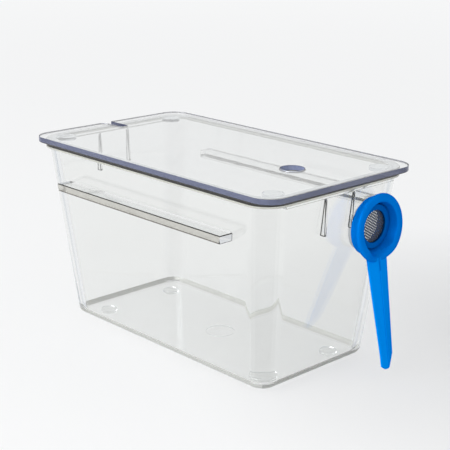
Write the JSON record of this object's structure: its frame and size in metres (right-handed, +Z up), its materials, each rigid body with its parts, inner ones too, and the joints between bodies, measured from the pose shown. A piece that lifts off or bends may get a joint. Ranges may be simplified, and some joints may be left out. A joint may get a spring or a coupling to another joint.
{
  "type": "zebrafish tank",
  "caption": "Clear tapered rack tank for zebrafish, with side rails, a loose lid with an inlet hole and feed notch, and a blue overflow strainer with a long spout.",
  "frame": {"origin": "middle of the object's box, on the plane that the feet stand on", "axes": "+X along the tub's length towards the strainer, +Y towards the long side that the strainer is nearer to, +Z up"},
  "size_m": [0.3198, 0.1848, 0.1705],
  "materials": {
    "clear_tub": "clear polished plastic",
    "clear_lid": "clear polished plastic with a blue edge",
    "lid_pads": "clear plastic",
    "blue_strainer": "satin blue plastic",
    "mesh_ring": "satin blue plastic",
    "steel_mesh": "woven stainless wire",
    "seal": "black rubber"
  },
  "bodies": {
    "tank": {"tank_tub": "clear_tub", "port_collar": "clear_tub", "side_rail_near": "clear_tub", "side_rail_far": "clear_tub", "end_rib_inlet_end_near": "clear_tub", "end_rib_inlet_end_far": "clear_tub", "end_rib_notch_end_near": "clear_tub", "end_rib_notch_end_far": "clear_tub", "foot_inlet_end_near": "clear_tub", "foot_inlet_end_far": "clear_tub", "foot_notch_end_near": "clear_tub", "foot_notch_end_far": "clear_tub"},
    "lid": {"lid_plate": "clear_lid", "lid_pad_inlet_end_near": "lid_pads", "lid_pad_inlet_end_far": "lid_pads", "lid_pad_notch_end_near": "lid_pads", "lid_pad_notch_end_far": "lid_pads"},
    "seal": {"port_seal": "seal"},
    "strainer": {"strainer_body": "blue_strainer", "strainer_mesh": "steel_mesh", "mesh_hold_ring": "mesh_ring"}
  },
  "joints": [
    {"name": "lid_lift", "type": "slide", "parent": "tank", "child": "lid", "axis": [0, 0, 1], "range_m": [0, 0.2]},
    {"name": "strainer_pull", "type": "slide", "parent": "tank", "child": "seal", "axis": [1, 0, 0], "range_m": [0, 0.06]},
    {"name": "strainer_turn", "type": "hinge", "parent": "seal", "child": "strainer", "pos_m": [0.12895, 0.0386, 0.1263], "axis": [1, 0, 0], "continuous": true}
  ]
}
